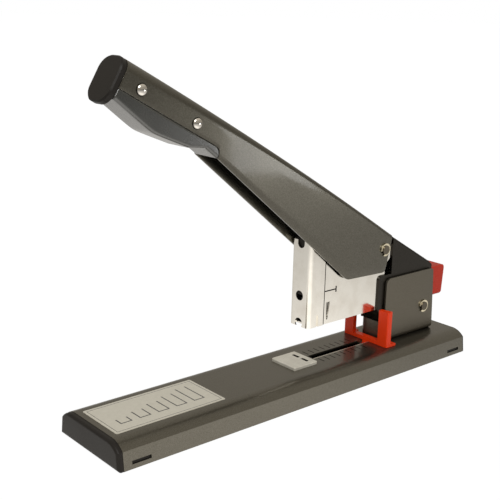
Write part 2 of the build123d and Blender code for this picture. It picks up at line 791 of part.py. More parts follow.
def make_return_spring():
    """Torsion spring on the handle pin: one leg lifts the handle, one rests on the anchor."""
    under_top = top_height(return_leg) - handle_sheet - return_wire / 2 - loose_fit
    top_x, top_z = from_slope(return_leg, under_top)
    upper_reach = hypot(top_x - handle_x, top_z - handle_z)
    # A leg leaves the coil where the line to its end just touches the coil.
    upper = atan2(top_z - handle_z, top_x - handle_x) - acos(return_radius / upper_reach)
    lower = radians(-90)
    turns = return_turns + ((upper - lower) / radians(360)) % 1
    length = turns * return_pitch
    plane = Plane((handle_x, -length / 2, handle_z), x_dir=(cos(upper), 0, sin(upper)), z_dir=(0, 1, 0))
    legs = (sqrt(upper_reach**2 - return_radius**2), return_foot)
    return plane * coil(return_radius, return_wire, turns, length, legs)


def top_height(along):
    """Height of the handle's crowned top over the pivot line."""
    share = min(max(along / handle_reach, 0), 1)
    return handle_top + 4 * handle_crown * share * (1 - share)


def shoulder_radius(along):
    """Rounding between the handle's top and sides, which grows towards the grip."""
    share = min(max(along / handle_reach, 0), 1)
    return shoulder_rear + (shoulder_front - shoulder_rear) * share**2


def handle_form(inset):
    """Solid of the handle's crowned channel, moved inwards by an inset."""
    deep = 2 * handle_depth
    half = handle_width / 2 - inset
    stations = [handle_reach * step / handle_stations for step in range(1, handle_stations)]
    sections = []
    for along in (-2 * handle_rear, *stations, handle_reach + overcut):
        top = top_height(along) - inset
        radius = max(shoulder_radius(along) - inset, bend_inside)
        turns = [radians(90) * step / shoulder_chords for step in range(shoulder_chords + 1)]
        rounded = [(half - radius * (1 - cos(turn)), top - radius * (1 - sin(turn))) for turn in turns]
        right = [(half, -deep), *rounded]
        left = [(-across, height) for across, height in reversed(right)]
        sections.append(slope_section(along) * make_face(Polyline(*right, *left, close=True)))
    return loft(sections, ruled=True)


def handle_side():
    """Side outline of the handle's sheet, along and across its slope."""
    tall = 2 * handle_top
    return outline(
        (handle_reach, tall, 0),
        (-handle_rear_top, tall, 0),
        (-handle_rear_top, handle_top, 0),
        (-handle_rear, -handle_rear_depth, handle_rear_round),
        (handle_low_corner, -handle_depth, handle_low_round),
        (grip_start, -grip_step, 0),
        (grip_start + grip_toe, -grip_seam_rear, grip_toe_round),
        (handle_reach, -grip_seam, 0),
    )


def stud_holes(diameter):
    """Round bars through the handle at the grip studs."""
    half = handle_width / 2 + overcut
    return [
        slope_slab(Pos(along, across) * Circle(diameter / 2), -half, half)
        for along, across in stud_places
    ]


def make_handle_shell():
    half = handle_width / 2 + overcut
    shell = handle_form(0) & slope_slab(handle_side(), -half, half)
    shell -= handle_form(handle_sheet)
    shell -= cross_rod(handle_x, handle_z, pin_diameter + 2 * running_fit, -half, half)
    for hole in stud_holes(stud_shank):
        shell -= hole
    return shell


def grip_profile():
    """Side of the hand-hold: a seam under the sheet and a swelling underside of three arcs."""
    gap = 2 * loose_fit
    end = handle_reach - gap
    start = grip_start + gap
    swell_in = (handle_reach - swell_front, -swell_front_depth)
    swell_out = (grip_start + swell_rear, -swell_rear_depth)
    front = TangentArc((end, -grip_end_depth), swell_in, tangent=(-1, 0))
    swell = TangentArc(swell_in, swell_out, tangent=front % 1)
    rear = TangentArc(swell_out, (start, -grip_step), tangent=swell % 1)
    toe = (start + grip_toe, -grip_seam_rear - gap)
    rim = Polyline((start, -grip_step), toe, (end, -grip_seam - gap), (end, -grip_end_depth))
    face = Sketch() + make_face([front, swell, rear, rim])
    return fillet(face.vertices().sort_by_distance((*toe, 0))[0], grip_toe_round)


def make_grip_insert():
    """Moulded grip: a core inside the sheet and a swelling hand-hold under it."""
    half = handle_width / 2 - grip_inset
    hold = slope_slab(grip_profile(), -half, half)
    lower = hold.edges().filter_by(GeomType.CIRCLE).filter_by(lambda edge: edge.radius > 2 * grip_toe_round)
    hold = fillet(lower, grip_round)
    core_half = handle_inside / 2 - loose_fit
    core_rear = grip_start + grip_core_setback
    core_front = handle_reach - end_plug_length - grip_core_round
    core_low = -grip_seam - overcut
    core = outline(
        (core_rear, core_low, 0), (core_rear, grip_core_top, grip_core_round),
        (core_front, grip_core_top, grip_core_round), (core_front, core_low, 0),
    )
    grip = hold + (slope_slab(core, -core_half, core_half) & handle_form(handle_sheet + loose_fit))
    for hole in stud_holes(stud_shank + 2 * running_fit):
        grip -= hole
    return grip


def make_handle_end_cap():
    """Rounded oblong cap with a plug inside the front end of the sheet."""
    half = end_cap_width / 2
    plane = slope_section(handle_reach)
    face = outline(
        (-half, -end_cap_drop, end_cap_radius), (half, -end_cap_drop, end_cap_radius),
        (half, end_cap_rise, end_cap_radius), (-half, end_cap_rise, end_cap_radius),
    )
    cap = extrude(plane * face, amount=end_cap_length)
    front = cap.faces().sort_by(Axis((0, 0, 0), plane.z_dir))[-1]
    cap = chamfer(front.edges(), end_cap_bevel)
    core = handle_inside / 2 - loose_fit
    low = -grip_seam + overcut
    high = handle_top - handle_sheet - loose_fit
    corner = shoulder_front - handle_sheet
    plug = outline((-core, low, 0), (core, low, 0), (core, high, corner), (-core, high, corner))
    return cap + extrude(plane * plug, amount=-end_plug_length)


def make_handle_studs():
    """Headed studs through the sheet and the grip's core."""
    half = handle_width / 2
    studs = []
    for along, across in stud_places:
        place = Pos(along, across)
        head = slope_slab(place * Circle(stud_diameter / 2), half, half + stud_height)
        stud = slope_slab(place * Circle(stud_shank / 2), -half, half)
        studs.append(stud + both_sides(head))
    return studs


def make_drive_yoke():
    """Welded yoke under the handle's top that carries the drive pin."""
    inner = yoke_inside / 2
    top = top_height(drive_along) + overcut
    plate_low = top_height(drive_along) - handle_sheet - yoke_sheet
    pin = Pos(drive_along, drive_lift)
    cheek = pin * Circle(yoke_ring)
    cheek += Pos(drive_along, (drive_lift + top) / 2) * Rectangle(2 * yoke_ring, top - drive_lift)
    cheek -= pin * Circle(drive_pin_diameter / 2)
    yoke = both_sides(slope_slab(cheek, inner, inner + yoke_sheet))
    plate = Pos(drive_along, (plate_low + top) / 2) * Rectangle(4 * yoke_ring, top - plate_low)
    yoke += slope_slab(plate, -handle_inside / 2, handle_inside / 2)
    # A window behind the pin leaves room for the drive head.
    window = Pos(drive_along - 2 * yoke_ring, top) * Rectangle(5 * yoke_ring, 4 * yoke_ring)
    yoke -= slope_slab(window, -inner, inner)
    return yoke & handle_form(handle_sheet)


def make_drive_pin():
    half = yoke_inside / 2 + yoke_sheet + drive_pin_end
    return cross_rod(drive_x, drive_z, drive_pin_diameter, -half, half)


def make_driver_head():
    """Slotted head on the blade; the drive pin slides in its slot as the handle turns."""
    half = drive_head_width / 2
    slot_half = drive_pin_diameter / 2 + drive_slot_play
    slot_front = drive_end_x - slot_half - drive_slot_end
    slot_rear = drive_x + slot_half + drive_slot_end
    front = slot_front - drive_head_rim
    rear = slot_rear + drive_head_rim
    low = drive_head_low
    top = drive_z + slot_half + drive_head_top
    shape = outline(
        (front, low, 0), (rear, low, 0), (rear, top, drive_head_round), (front, top, drive_head_round),
    )
    slot = SlotOverall(slot_rear - slot_front, 2 * slot_half)
    head = slab(shape - Pos((slot_front + slot_rear) / 2, drive_z) * slot, -half, half)
    blade_rear = blade_x + blade_thickness
    seat = low + drive_head_seat
    return head - block(blade_x - running_fit, blade_rear + running_fit, -half, half, low - overcut, seat)


def make_driver_blade():
    rear = blade_x + blade_thickness
    half = staple_width / 2
    wide_top = channel_top + blade_rise
    neck = drive_head_width / 2
    blade = block(blade_x, rear, -half, half, magazine_z + drive_stroke, wide_top)
    return blade + block(blade_x, rear, -neck, neck, wide_top, drive_head_low + drive_head_seat)


def make_depth_guide():
    """U-shaped paper stop in front of the bracket, which slides along the base."""
    half = guide_width / 2
    inner = bracket_width / 2 + side_clearance
    low = base_height + guide_gap
    rear = guide_x + post_outer_depth
    plan = outline(
        (guide_x, inner, 0), (guide_x, half, guide_round), (rear, half, guide_round),
        (guide_x + post_inner_depth, inner, 0),
    )
    post = Pos(0, 0, low) * extrude(plan, amount=guide_height)
    foot_inner = half - guide_foot_width
    foot = block(rear - overcut, rear + guide_foot, foot_inner, half, low, low + guide_foot_height)
    bar_rear = guide_x + guide_bar_depth
    bar_half = inner + overcut
    guide = both_sides(post + foot) + block(guide_x, bar_rear, -bar_half, bar_half, low, low + guide_bar)
    neck = guide_slot_width / 2 - 2 * loose_fit
    half_neck = guide_neck / 2
    return guide + block(guide_mid - half_neck, guide_mid + half_neck, -neck, neck, shoe_top, low)


def make_guide_shoe():
    """Plate under the base top that keeps the guide in its slot."""
    plate = extrude(RectangleRounded(shoe_length, shoe_width, shoe_corner), amount=-shoe_thickness)
    return Pos(guide_mid, 0, shoe_top) * plate


def make_guide_screw():
    under = shoe_top - shoe_thickness
    return upright(guide_mid, 0, screw_head, under - screw_head_thickness, under)


def make_pusher_rod():
    front = channel_x + rod_lead
    rod = long_rod(rod_diameter, front, knob_front + rod_seat)
    return rod + long_rod(rod_head, front, front + rod_head_thickness)


def make_pusher_knob():
    """Knob at the rear; pulling it draws the pusher out for loading."""
    half = knob_width / 2
    front = knob_front
    low = magazine_z - knob_drop
    top = low + knob_height
    rear = front + knob_length
    side = outline(
        (front, low, 0), (rear - knob_slant, low, knob_round), (rear, top, knob_round), (front, top, 0),
    )
    knob = slab(side, -half, half)
    knob = chamfer(knob.faces().filter_by(Axis.Y).edges(), knob_bevel)
    plug_front = front - knob_plug
    core = rail_core
    knob += block(plug_front, front + overcut, -core, core, rod_z - core, rod_z + core)
    return knob - long_rod(rod_diameter, plug_front, front + rod_seat)


def make_staple_follower():
    """Block on the rod inside the rail, with a saddle over the rail behind the staples."""
    front = follower_front
    rear = follower_rear
    core = rail_core
    neck = rail_slot / 2 - loose_fit
    saddle = staple_width / 2 - saddle_gap
    leg = rail_width / 2 + loose_fit
    seat = rail_top + loose_fit
    body = block(front, rear, -core, core, rod_z - core, rod_z + core)
    body += block(front + follower_nose, rear, -neck, neck, rod_z, seat)
    body += block(front, rear, -saddle, saddle, seat, seat + saddle_thickness)
    body += both_sides(block(front, rear, leg, saddle, rail_low + 2 * loose_fit, seat))
    return body - long_rod(rod_diameter + 2 * running_fit, front, rear)


def make_pusher_spring():
    """Feed spring round the rod, from the knob's plug to the follower."""
    front = follower_rear + feed_wire / 2
    length = knob_front - knob_plug - feed_wire / 2 - front
    spring = coil(feed_radius, feed_wire, feed_turns, length)
    return Plane((front, 0, rod_z), x_dir=(0, 0, 1), z_dir=(1, 0, 0)) * spring


nodes = {
    "base_shell": make_base_shell(),
    "front_end_cap": make_end_cap(sheet_front, front_nose, front_round, -1),
    "rear_end_cap": make_end_cap(sheet_rear, rear_nose, rear_round, 1),
    "base_pad": make_base_pad(),
    "label_plate": make_label_plate(),
    "anvil_plate": make_anvil_plate(),
    "bracket": make_bracket(),
    "bracket_rivets": make_bracket_rivets(),
    "pivot_pin": make_pin(arm_x, arm_z, bracket_width),
    "pivot_clip": make_clip(arm_x, arm_z, bracket_width, 200),
    "lift_spring": make_lift_spring(),
    "magazine_body": make_magazine_body(),
    "front_guide": make_front_guide(),
    "arm_housing": make_arm_housing(),
    "pivot_spacer": make_spacer(arm_x, arm_z, magazine_width, pin_diameter + 2 * running_fit),
    "staple_rail": make_staple_rail(),
    "spring_anchor": make_spring_anchor(),
    "handle_pin": make_pin(handle_x, handle_z, handle_width),
    "handle_pin_clip": make_clip(handle_x, handle_z, handle_width, 215),
    "handle_spacer": make_spacer(handle_x, handle_z, magazine_inside, pin_diameter),
    "handle_washers": make_handle_washers(),
    "return_spring": make_return_spring(),
    "handle_shell": make_handle_shell(),
    "grip_insert": make_grip_insert(),
    "handle_end_cap": make_handle_end_cap(),
    "handle_studs": make_handle_studs(),
    "drive_yoke": make_drive_yoke(),
    "drive_pin": make_drive_pin(),
    "driver_head": make_driver_head(),
    "driver_blade": make_driver_blade(),
    "depth_guide": make_depth_guide(),
    "guide_shoe": make_guide_shoe(),
    "guide_screw": make_guide_screw(),
    "pusher_knob": make_pusher_knob(),
    "pusher_rod": make_pusher_rod(),
    "staple_follower": make_staple_follower(),
    "pusher_spring": make_pusher_spring(),
}

os.makedirs("parts", exist_ok=True)
for name, shape in nodes.items():
    solids = shape if isinstance(shape, list) else [shape]
    body = solids[0] if len(solids) == 1 else Compound(children=solids)
    export_step(body, f"parts/{name}.step")
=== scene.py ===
import json
import bmesh
import bpy
import numpy as np
from mathutils import Matrix, Vector


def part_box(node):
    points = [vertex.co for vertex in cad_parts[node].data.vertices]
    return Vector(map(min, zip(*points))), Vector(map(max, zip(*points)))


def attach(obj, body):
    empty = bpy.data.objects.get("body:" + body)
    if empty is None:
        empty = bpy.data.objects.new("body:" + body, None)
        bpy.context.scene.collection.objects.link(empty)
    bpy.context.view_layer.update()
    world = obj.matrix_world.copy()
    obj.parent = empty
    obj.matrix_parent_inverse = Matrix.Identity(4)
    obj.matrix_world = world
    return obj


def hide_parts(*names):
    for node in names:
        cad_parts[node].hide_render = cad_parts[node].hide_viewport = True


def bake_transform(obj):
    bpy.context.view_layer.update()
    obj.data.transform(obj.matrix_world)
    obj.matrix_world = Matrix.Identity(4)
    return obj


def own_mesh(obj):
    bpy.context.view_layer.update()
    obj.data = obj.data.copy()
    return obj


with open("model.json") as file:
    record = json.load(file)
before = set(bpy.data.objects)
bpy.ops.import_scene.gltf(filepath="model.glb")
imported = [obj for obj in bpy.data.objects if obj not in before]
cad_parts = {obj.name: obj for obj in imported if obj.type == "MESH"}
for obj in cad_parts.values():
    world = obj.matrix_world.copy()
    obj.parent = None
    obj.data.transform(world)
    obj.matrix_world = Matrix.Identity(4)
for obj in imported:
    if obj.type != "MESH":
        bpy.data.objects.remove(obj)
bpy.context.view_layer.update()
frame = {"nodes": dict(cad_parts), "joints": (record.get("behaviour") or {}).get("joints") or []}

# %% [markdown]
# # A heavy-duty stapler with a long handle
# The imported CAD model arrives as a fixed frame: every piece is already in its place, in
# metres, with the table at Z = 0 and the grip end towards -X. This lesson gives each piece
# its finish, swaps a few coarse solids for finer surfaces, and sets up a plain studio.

MM = 0.001
joints = {joint["name"]: joint for joint in frame["joints"]}
print("pieces from the frame:", len(frame["nodes"]), "joints:", sorted(joints))

# %% [markdown]
# ## Surfaces from arrays
# A new piece is a grid of points: rows run along it, columns run round its profile. Whole
# arrays are quicker and easier to read than adding vertices one by one, and the same helper
# then serves a tube, a dome and a folded sheet. Each cell of the grid becomes one quad.


# %% Grid helpers
WELD = 0.001 * MM


def grid_faces(rows, columns, closed, first=0):
    """Quads between neighbouring points of a grid; closed joins the last column to the first."""
    index = first + np.arange(rows * columns).reshape(rows, columns)
    if closed:
        index = np.concatenate([index, index[:, :1]], axis=1)
    corners = (index[:-1, :-1], index[:-1, 1:], index[1:, 1:], index[1:, :-1])
    return np.stack(corners, axis=-1).reshape(-1, 4)


def piece_from_grids(name, grids, closed=True):
    """One smooth mesh object from several (rows, columns, 3) grids of points in metres.

    Points that share a place, as at the pole of a dome, are welded into one. The faces of a closed
    shell are then turned outwards.
    """
    faces, first = [], 0
    for grid in grids:
        rows, columns = grid.shape[:2]
        faces.append(grid_faces(rows, columns, closed, first))
        first += rows * columns
    mesh = bpy.data.meshes.new(name)
    points = np.concatenate([grid.reshape(-1, 3) for grid in grids])
    mesh.from_pydata(points.tolist(), [], np.concatenate(faces).tolist())
    weld = bmesh.new()
    weld.from_mesh(mesh)
    bmesh.ops.remove_doubles(weld, verts=weld.verts, dist=WELD)
    if closed:
        bmesh.ops.recalc_face_normals(weld, faces=weld.faces)
    weld.to_mesh(mesh)
    weld.free()
    mesh.polygons.foreach_set("use_smooth", np.ones(len(mesh.polygons), dtype=bool))
    piece = bpy.data.objects.new(name, mesh)
    bpy.context.scene.collection.objects.link(piece)
    print(name, "has", len(mesh.polygons), "faces")
    return piece


# %% [markdown]
# ## Shader sums in plain Python
# A pattern in a material is a sum of masks. Wiring Math nodes by hand hides that sum, so a
# small class wraps a socket and lets Python's own operators add the nodes. Every other node
# comes from one method, which sets the node's options first and then its inputs.


# %% Socket class
class Signal:
    """An output socket. Arithmetic on it adds Math nodes to the same finish."""

    def __init__(self, finish, socket):
        self.finish = finish
        self.socket = socket

    def math(self, operation, *values):
        return self.finish.node("ShaderNodeMath", {"operation": operation}, *values)

    def __add__(self, other):
        return self.math("ADD", self, other)

    def __sub__(self, other):
        return self.math("SUBTRACT", self, other)

    def __rsub__(self, other):
        return self.math("SUBTRACT", other, self)

    def __mul__(self, other):
        return self.math("MULTIPLY", self, other)

    def __truediv__(self, other):
        return self.math("DIVIDE", self, other)

    def __mod__(self, other):
        return self.math("FLOORED_MODULO", self, other)

    def __lt__(self, other):
        return self.math("LESS_THAN", self, other)

    def __gt__(self, other):
        return self.math("GREATER_THAN", self, other)

    def __abs__(self):
        return self.math("ABSOLUTE", self)

    def swing(self, amount):
        """Centre a noise on 0 and scale it, so that it strays by amount from end to end."""
        return (self - 0.5) * amount

    __radd__ = __add__
    __rmul__ = __mul__


# %% Finish class
MIX_SHARE, MIX_FIRST, MIX_SECOND, MIX_RESULT = 0, 6, 7, 2  # colour sockets of a Mix node


class Finish:
    """A material under construction, with its Principled shader and its Object coordinates."""

    def __init__(self, name, **constants):
        self.material = bpy.data.materials.new(name)
        self.material.use_nodes = True
        self.tree = self.material.node_tree
        self.shader = self.tree.nodes["Principled BSDF"]
        for socket, value in constants.items():
            self.shader.inputs[socket.replace("_", " ")].default_value = value
        self.place = self.node("ShaderNodeTexCoord", {}, output="Object")

    def node(self, kind, settings, *values, output=0, inputs=None, **sockets):
        """Add a node, set its options, then its inputs by order, by number or by name."""
        node = self.tree.nodes.new(kind)
        for option, value in settings.items():
            if option == "stops":
                self.set_stops(node.color_ramp, value)
            else:
                setattr(node, option, value)
        for key, value in [*enumerate(values), *(inputs or {}).items(), *sockets.items()]:
            socket = node.inputs[key if isinstance(key, int) else key.replace("_", " ")]
            self.feed(socket, value)
        return Signal(self, node.outputs[output])

    def feed(self, socket, value):
        if isinstance(value, Signal):
            self.tree.links.new(value.socket, socket)
        else:
            socket.default_value = value

    def set_stops(self, ramp, stops):
        while len(ramp.elements) < len(stops):
            ramp.elements.new(1.0)
        for element, (position, level) in zip(ramp.elements, stops):
            element.position = position
            element.color = (level, level, level, 1.0)

    def surface(self, **sockets):
        """Feed varying values into the Principled shader."""
        for socket, value in sockets.items():
            self.feed(self.shader.inputs[socket.replace("_", " ")], value)

    def noise(self, size, detail=2.0, stretch=(1.0, 1.0, 1.0)):
        """Noise with grains of about size metres, drawn out along the stretched axes."""
        scale = tuple(1.0 / (size * axis) for axis in stretch)
        mapped = self.node("ShaderNodeMapping", {}, self.place, Scale=scale)
        return self.node("ShaderNodeTexNoise", {}, mapped, Scale=1.0, Detail=detail)

    def step(self, signal, low, high):
        """0 below low, 1 above high, and a straight ramp between them."""
        settings = {"stops": [(low, 0.0), (high, 1.0)]}
        return self.node("ShaderNodeValToRGB", settings, signal)

    def blend(self, share, first, second):
        """Mix two colours by a share between 0 and 1."""
        settings = {"data_type": "RGBA"}
        sockets = {MIX_SHARE: share, MIX_FIRST: first, MIX_SECOND: second}
        return self.node("ShaderNodeMix", settings, output=MIX_RESULT, inputs=sockets)

    def relief(self, height, depth):
        """Bump from a height signal, depth metres from lowest to highest."""
        return self.node("ShaderNodeBump", {}, Height=height, Distance=depth, Strength=1.0)

    def axes(self):
        """The three Object coordinates in metres."""
        split = self.node("ShaderNodeSeparateXYZ", {}, self.place).socket.node
        return [Signal(self, output) for output in split.outputs]


# %% Colours and dressing
def colour(red, green, blue):
    return (red, green, blue, 1.0)


def dress(finish, *names):
    """Give a finish to CAD nodes or to new pieces."""
    for name in names:
        piece = bpy.data.objects[name]
        if not piece.material_slots:
            piece.data.materials.append(finish.material)
        for slot in piece.material_slots:
            slot.material = finish.material
    print(finish.material.name, "on", ", ".join(names))


# %% [markdown]
# ## Camera
# The photograph was taken from the grip end, a little above the base, with a moderate lens.
# Three angles and a place say that better than a target object: the view is turned about Z,
# tipped down and rolled by a degree or so, as a hand-held camera is.

# %% Camera
VIEW_AZIMUTH, VIEW_HEIGHT, VIEW_ROLL = np.radians((-40.82, 14.94, 1.41))
VIEW_PLACE = Vector((-374.64, -395.22, 235.65)) * MM
FOCAL_LENGTH, SENSOR_WIDTH = 66.0, 36.0

camera_data = bpy.data.cameras.new("photo_camera")
camera_data.lens = FOCAL_LENGTH
camera_data.sensor_width = SENSOR_WIDTH
camera = bpy.data.objects.new("photo_camera", camera_data)
turn = Matrix.Rotation(VIEW_AZIMUTH, 4, "Z")
tip = Matrix.Rotation(np.pi / 2 - VIEW_HEIGHT, 4, "X")
roll = Matrix.Rotation(VIEW_ROLL, 4, "Z")
camera.matrix_world = Matrix.Translation(VIEW_PLACE) @ turn @ tip @ roll
bpy.context.scene.collection.objects.link(camera)
bpy.context.scene.camera = camera
bpy.context.scene.view_settings.view_transform = "Standard"
print("camera at", tuple(round(value, 3) for value in camera.location))

# %% [markdown]
# ## The folded handle
# The handle is one sheet of steel folded into a channel with a crowned top. Its shoulders are
# tight at the pivot and wide at the grip. The CAD solid is drawn between a few straight
# stations; here every cross-section is worked out, so that the gloss runs along it without a
# break. A cheek is flat, so it is a straight run between two edges: the cut lower edge and
# the line where the shoulder starts. Solidify then gives the sheet its thickness.

# %% Handle outline, along and across its slope in mm
HANDLE_SLOPE = np.radians(30.0)
HANDLE_REACH = 233.8
HANDLE_HALF = 10.7
HANDLE_SHEET = 1.3
REAR_TOP = -2.4
TOP_ENDS, TOP_CROWN = 11.3, 1.8
SHOULDER_REAR, SHOULDER_FRONT = 2.6, 7.0
LOWER_EDGE = [
    (-7.4, -7.8, 0.0),
    (-8.8, -13.1, 3.0),
    (23.0, -30.2, 7.0),
    (159.4, -7.9, 0.4),
    (160.6, -2.3, 5.0),
    (HANDLE_REACH, -4.3, 0.0),
]
CORNER_STEPS = 9
EDGE_WIDTH, EDGE_ANGLE = 0.6 * MM, np.radians(50)
CUT_EDGE_SLOT = 1  # the second material of the handle
print("handle outline:", len(LOWER_EDGE), "corners over", HANDLE_REACH, "mm")


def rounded_path(corners, count):
    """Equal steps along straight runs; each corner is a parabola that touches both runs."""
    curve = np.linspace(0, 1, CORNER_STEPS)[:, None]
    runs = [np.array(corners[0][:2])[None]]
    for before, corner, after in zip(corners, corners[1:], corners[2:]):
        middle = np.array(corner[:2])
        back, ahead = np.array(before[:2]) - middle, np.array(after[:2]) - middle
        back, ahead = back / np.linalg.norm(back), ahead / np.linalg.norm(ahead)
        half_angle = np.arccos(np.clip(back @ ahead, -1, 1)) / 2
        reach = corner[2] / np.tan(half_angle)
        runs.append(middle + reach * ((1 - curve) ** 2 * back + curve**2 * ahead))
    path = np.concatenate([*runs, np.array(corners[-1][:2])[None]])
    length = np.concatenate([[0], np.cumsum(np.linalg.norm(np.diff(path, axis=0), axis=1))])
    even = np.linspace(0, length[-1], count)
    return np.stack([np.interp(even, length, path[:, axis]) for axis in (0, 1)], axis=1)


def from_slope(along, across, y):
    """Points in metres from places along and across the handle's slope, in mm from its pivot."""
    pivot_x, _, pivot_z = joints["handle_pivot"]["pos_m"]
    x = pivot_x + MM * (across * np.sin(HANDLE_SLOPE) - along * np.cos(HANDLE_SLOPE))
    z = pivot_z + MM * (along * np.sin(HANDLE_SLOPE) + across * np.cos(HANDLE_SLOPE))
    return np.stack(np.broadcast_arrays(x, MM * y, z), axis=-1)


# %% Handle surface
def handle_sheet(rows=260, cheek_columns=6, bend_columns=12, top_columns=6):
    """Channel from the near lower edge over the top to the far lower edge.

    The top rises by 4 * crown * t * (1 - t) and the shoulder radius grows with t squared,
    where t runs from 0 at the pivot to 1 at the front end.
    """
    along = np.linspace(REAR_TOP, HANDLE_REACH, rows)[:, None]
    share = np.clip(along / HANDLE_REACH, 0, 1)
    top = TOP_ENDS + 4 * TOP_CROWN * share * (1 - share)
    radius = SHOULDER_REAR + (SHOULDER_FRONT - SHOULDER_REAR) * share**2
    lower = rounded_path(LOWER_EDGE, rows)
    rise = np.linspace(0, 1, cheek_columns)[None, :-1]
    cheek_along = lower[:, :1] * (1 - rise) + along * rise
    cheek_across = lower[:, 1:] * (1 - rise) + (top - radius) * rise
    turn = np.linspace(0, np.pi / 2, bend_columns)[None]
    bend_across = top - radius + radius * np.sin(turn)
    bend_y = -HANDLE_HALF + radius * (1 - np.cos(turn))
    near_along = np.concatenate([cheek_along, along + 0 * turn], axis=1)
    near_across = np.concatenate([cheek_across, bend_across], axis=1)
    near_y = np.concatenate([cheek_along * 0 - HANDLE_HALF, bend_y], axis=1)
    across_top = np.linspace(-1, 1, top_columns + 2)[None, 1:-1]
    top_y = (HANDLE_HALF - radius) * across_top
    grid_along = np.concatenate([near_along, along + 0 * top_y, near_along[:, ::-1]], axis=1)
    grid_across = np.concatenate([near_across, top + 0 * top_y, near_across[:, ::-1]], axis=1)
    grid_y = np.concatenate([near_y, top_y, -near_y[:, ::-1]], axis=1)
    return from_slope(grid_along, grid_across, grid_y)


handle = piece_from_grids("handle_sheet", [handle_sheet()], closed=False)
wall = handle.modifiers.new("sheet", "SOLIDIFY")
wall.thickness = HANDLE_SHEET * MM
wall.offset = -1.0
edge = handle.modifiers.new("cut_edge", "BEVEL")
edge.width = EDGE_WIDTH
edge.segments = 2
edge.material = CUT_EDGE_SLOT
edge.limit_method = "ANGLE"
edge.angle_limit = EDGE_ANGLE
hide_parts("handle_shell")
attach(handle, "handle")

# %% [markdown]
# ## The moulded grip
# Under the front of the handle sits a hand-hold with a blunt belly and a short flat toe behind
# it. Its underside is written as depths: two straight lines and a hyperbola, of which the larger
# or the smaller holds at each place. That is easier to tune than a chain of arcs.

# %% Grip surface
GRIP_REAR, GRIP_FRONT = 159.7, 233.5
GRIP_HALF = 10.5
SEAM_REAR, SEAM_FRONT, TOE_RADIUS = -2.6, -4.6, 5.2
BELLY_DEPTH, BELLY_PLACE, BELLY_FALL, BELLY_BEND = 14.9, 44.0, 0.155, 3.0
TOE_DEPTH, TOE_FALL = 7.9, 0.13
RAMP_DEPTH, RAMP_RISE = 2.4, 0.44
GRIP_ROUND, ROUND_LIMIT = 1.8, 0.85
GRIP_CROWDING = 1.5  # above 1, sections crowd towards the tip


def grip_sections(rows=140, side_columns=8, bend_columns=12, under_columns=5):
    """Closed sections of the hand-hold from its rear tip to the end cap.

    With u the distance from the tip, the toe lies 7.9 - 0.13 u below the pivot line. Behind it
    the depth is the smaller of a ramp, 2.4 + 0.44 u, and the belly, which is
    14.9 - 0.155 sqrt((u - 44)^2 + 3^2). Both lower corners are quarter circles. Near the tip the
    seam drops as a quarter circle too, so that the last section closes.
    """
    share = np.linspace(0, 1, rows)[:, None] ** GRIP_CROWDING
    u = (GRIP_FRONT - GRIP_REAR) * share
    swell = BELLY_DEPTH - BELLY_FALL * np.hypot(u - BELLY_PLACE, BELLY_BEND)
    belly = -np.maximum(TOE_DEPTH - TOE_FALL * u, np.minimum(RAMP_DEPTH + RAMP_RISE * u, swell))
    toe = np.clip(1 - u / TOE_RADIUS, 0, 1)
    seam = SEAM_REAR + (SEAM_FRONT - SEAM_REAR) * share - TOE_RADIUS * (1 - np.sqrt(1 - toe**2))
    radius = np.minimum(GRIP_ROUND, ROUND_LIMIT * (seam - belly))
    down = np.linspace(0, 1, side_columns)[None, :-1]
    turn = np.linspace(0, np.pi / 2, bend_columns)[None]
    side_across = seam + (belly + radius - seam) * down
    bend_across = belly + radius * (1 - np.sin(turn))
    bend_y = GRIP_HALF - radius * (1 - np.cos(turn))
    near_across = np.concatenate([side_across, bend_across], axis=1)
    near_y = np.concatenate([GRIP_HALF + 0 * side_across, bend_y], axis=1)
    under_y = (GRIP_HALF - radius) * np.linspace(1, -1, under_columns + 2)[None, 1:-1]
    across = np.concatenate([near_across, belly + 0 * under_y, near_across[:, ::-1]], axis=1)
    y = np.concatenate([-near_y, -under_y, near_y[:, ::-1]], axis=1)
    ends = [np.broadcast_to(grid.mean(axis=1, keepdims=True), grid.shape) for grid in (across, y)]
    across = np.concatenate([ends[0][:1], across, ends[0][-1:]])
    y = np.concatenate([ends[1][:1], y, ends[1][-1:]])
    along = GRIP_REAR + np.concatenate([u[:1], u, u[-1:]])
    return from_slope(along, across, y)


hold = piece_from_grids("grip_hold", [grip_sections()])
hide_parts("grip_insert")
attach(hold, "handle")

# %% [markdown]
# ## Dome studs
# Four chromed domes hold the grip. A dome is a curve turned about its axis: as the curve's
# angle goes from the rim to the pole, the ring shrinks with its cosine and rises with its sine.

# %% Studs
STUD_PLACES = [(221.5, 1.2), (181.8, 2.3)]
STUD_RADIUS, STUD_RISE, STUD_RIM = 3.0, 1.7, 0.35


def dome(along, across, side, rows=14, columns=36):
    """Half an ellipsoid on a short rim, standing on one cheek of the handle."""
    climb = np.linspace(0, np.pi / 2, rows)
    ring = np.concatenate([[0, STUD_RADIUS], STUD_RADIUS * np.cos(climb)])[:, None]
    height = np.concatenate([[0, 0], STUD_RIM + (STUD_RISE - STUD_RIM) * np.sin(climb)])[:, None]
    around = np.linspace(0, 2 * np.pi, columns, endpoint=False)[None] * side
    y = side * (HANDLE_HALF + height) + 0 * around
    return from_slope(along + ring * np.cos(around), across + ring * np.sin(around), y)


domes = [dome(*place, side) for place in STUD_PLACES for side in (-1, 1)]
studs = piece_from_grids("stud_domes", domes)
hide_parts("handle_studs")
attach(studs, "handle")
